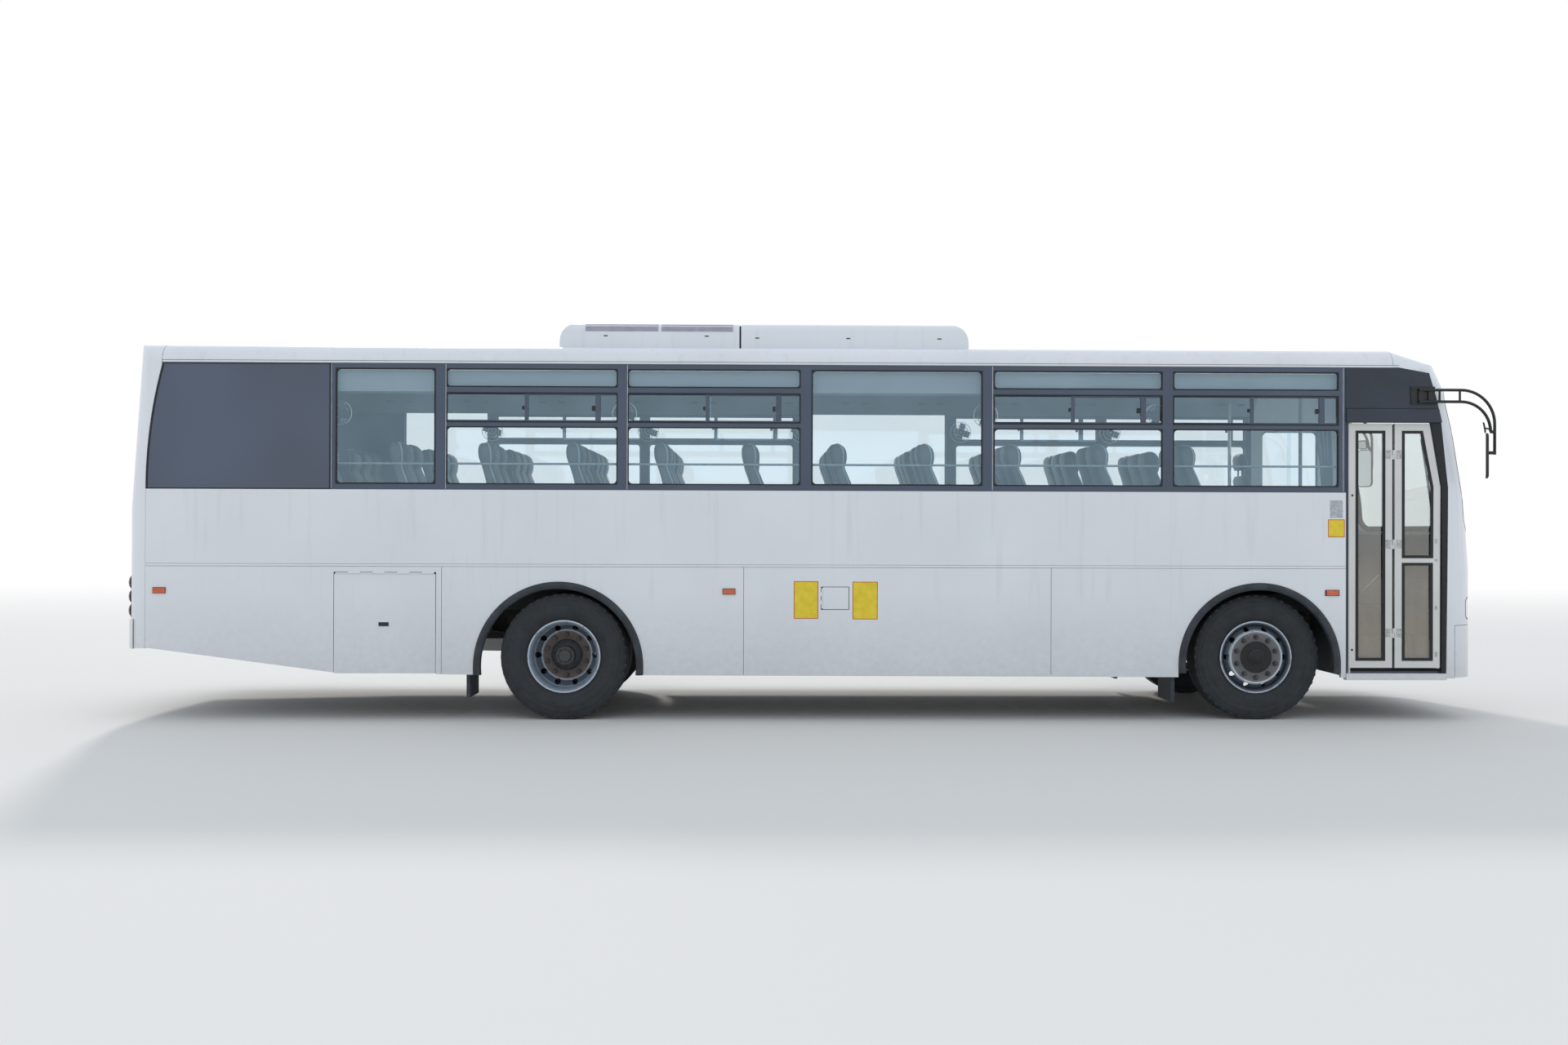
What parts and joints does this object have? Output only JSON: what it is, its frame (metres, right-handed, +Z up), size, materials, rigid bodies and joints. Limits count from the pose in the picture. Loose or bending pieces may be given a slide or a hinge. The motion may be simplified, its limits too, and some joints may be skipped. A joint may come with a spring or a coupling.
{
  "type": "passenger bus",
  "caption": "Long single-deck airport bus with a front engine, folding entrance door, tinted sliding windows, roof air-conditioner and steerable front wheels.",
  "frame": {"origin": "on the ground under the middle of the whole bus, mirrors included", "axes": "+X forward, +Y to the left, +Z up"},
  "size_m": [11.2758, 2.7256, 3.2802],
  "materials": {
    "body_white": "satin off-white coach paint",
    "band_slate": "dark slate gloss",
    "tinted_glass": "green-grey tint",
    "dark_glass": "dark filmed glass",
    "rubber_black": "matt",
    "tyre_black": "worn",
    "rim_silver": "silver paint, worn",
    "chassis_black": "matt chassis paint",
    "iron_grey": "rough",
    "leaf_ivory": "painted ivory",
    "lamp_clear": "clear lens",
    "lamp_red": "lens",
    "lamp_orange": "lens",
    "seat_vinyl": "grey-green vinyl",
    "plastic_grey": "grained",
    "duct_grey": "smooth",
    "bright_tube": "brushed",
    "floor_grey": "floor sheet"
  },
  "bodies": {
    "coach": {"chassis_frame": "chassis_black", "front_axle": "chassis_black", "rear_axle": "chassis_black", "driveline": "iron_grey", "fuel_tank": "chassis_black", "silencer": "chassis_black", "floor_deck": "floor_grey", "side_panels_right": "body_white", "side_panels_left": "body_white", "window_band_right": "band_slate", "window_band_left": "band_slate", "side_glass_right": "tinted_glass", "side_glass_left": "tinted_glass", "quarter_panels": "dark_glass", "roof_shell": "body_white", "front_mask": "body_white", "rear_mask": "body_white", "bumpers": "body_white", "front_grille": "plastic_grey", "door_surround": "band_slate", "door_sill": "body_white", "driver_window": "tinted_glass", "windscreen": "tinted_glass", "rear_window": "tinted_glass", "wheel_arches": "rubber_black", "ac_unit": "body_white", "mirrors": "plastic_grey", "wipers": "rubber_black", "headlamps": "lamp_clear", "tail_lamps": "lamp_red", "side_markers": "lamp_orange", "seats_right": "seat_vinyl", "seats_left": "seat_vinyl", "driver_seat": "plastic_grey", "dashboard": "plastic_grey", "engine_cover": "plastic_grey", "air_ducts": "duct_grey", "guard_rails": "bright_tube"},
    "knuckle_left": {"knuckle_left": "chassis_black"},
    "knuckle_right": {"knuckle_right": "chassis_black"},
    "tie_rod": {"tie_rod": "chassis_black"},
    "wheel_front_left": {"tyre_front_left": "tyre_black", "rim_front_left": "rim_silver"},
    "wheel_front_right": {"tyre_front_right": "tyre_black", "rim_front_right": "rim_silver"},
    "wheel_rear_left": {"tyre_rear_left": "tyre_black", "rim_rear_left": "rim_silver"},
    "wheel_rear_right": {"tyre_rear_right": "tyre_black", "rim_rear_right": "rim_silver"},
    "door_rear": {"door_leaf_rear": "leaf_ivory", "door_glass_rear": "tinted_glass"},
    "door_front": {"door_leaf_front": "leaf_ivory", "door_glass_front": "tinted_glass"},
    "hatch": {"hatch": "body_white"},
    "fuel_flap": {"fuel_flap": "body_white"}
  },
  "joints": [
    {"name": "steer_left", "type": "hinge", "parent": "coach", "child": "knuckle_left", "pos_m": [3.691, 0.9, 0.515], "axis": [0, 0, 1], "range_deg": [-36, 36]},
    {"name": "steer_right", "type": "hinge", "parent": "coach", "child": "knuckle_right", "pos_m": [3.691, -0.9, 0.515], "axis": [0, 0, 1], "range_deg": [-36, 36]},
    {"name": "tie_rod_swing", "type": "hinge", "parent": "knuckle_left", "child": "tie_rod", "pos_m": [3.511, 0.9, 0.405], "axis": [0, 0, 1], "range_deg": [-36, 36]},
    {"name": "front_left_wheel_turn", "type": "hinge", "parent": "knuckle_left", "child": "wheel_front_left", "pos_m": [3.691, 1.04, 0.515], "axis": [0, 1, 0], "continuous": true},
    {"name": "front_right_wheel_turn", "type": "hinge", "parent": "knuckle_right", "child": "wheel_front_right", "pos_m": [3.691, -1.04, 0.515], "axis": [0, 1, 0], "continuous": true},
    {"name": "rear_left_wheels_turn", "type": "hinge", "parent": "coach", "child": "wheel_rear_left", "pos_m": [-2.009, 1.085, 0.515], "axis": [0, 1, 0], "continuous": true},
    {"name": "rear_right_wheels_turn", "type": "hinge", "parent": "coach", "child": "wheel_rear_right", "pos_m": [-2.009, -1.085, 0.515], "axis": [0, 1, 0], "continuous": true},
    {"name": "door_rear_leaf", "type": "hinge", "parent": "coach", "child": "door_rear", "pos_m": [4.443, -1.208, 1.44], "axis": [0, 0, 1], "range_deg": [0, 85]},
    {"name": "door_front_leaf", "type": "hinge", "parent": "door_rear", "child": "door_front", "pos_m": [4.804, -1.232, 1.44], "axis": [0, 0, 1], "range_deg": [-170, 0]},
    {"name": "hatch_lift", "type": "hinge", "parent": "coach", "child": "hatch", "pos_m": [-3.457, -1.251, 1.194], "axis": [-1, 0, 0], "range_deg": [0, 100]},
    {"name": "fuel_flap_swing", "type": "hinge", "parent": "coach", "child": "fuel_flap", "pos_m": [0.1, -1.251, 0.9985], "axis": [0, 0, -1], "range_deg": [0, 110]}
  ],
  "couplings": [
    {"joint": "steer_right", "follows": "steer_left", "ratio": 1},
    {"joint": "tie_rod_swing", "follows": "steer_left", "ratio": -1},
    {"joint": "door_front_leaf", "follows": "door_rear_leaf", "ratio": -2}
  ]
}
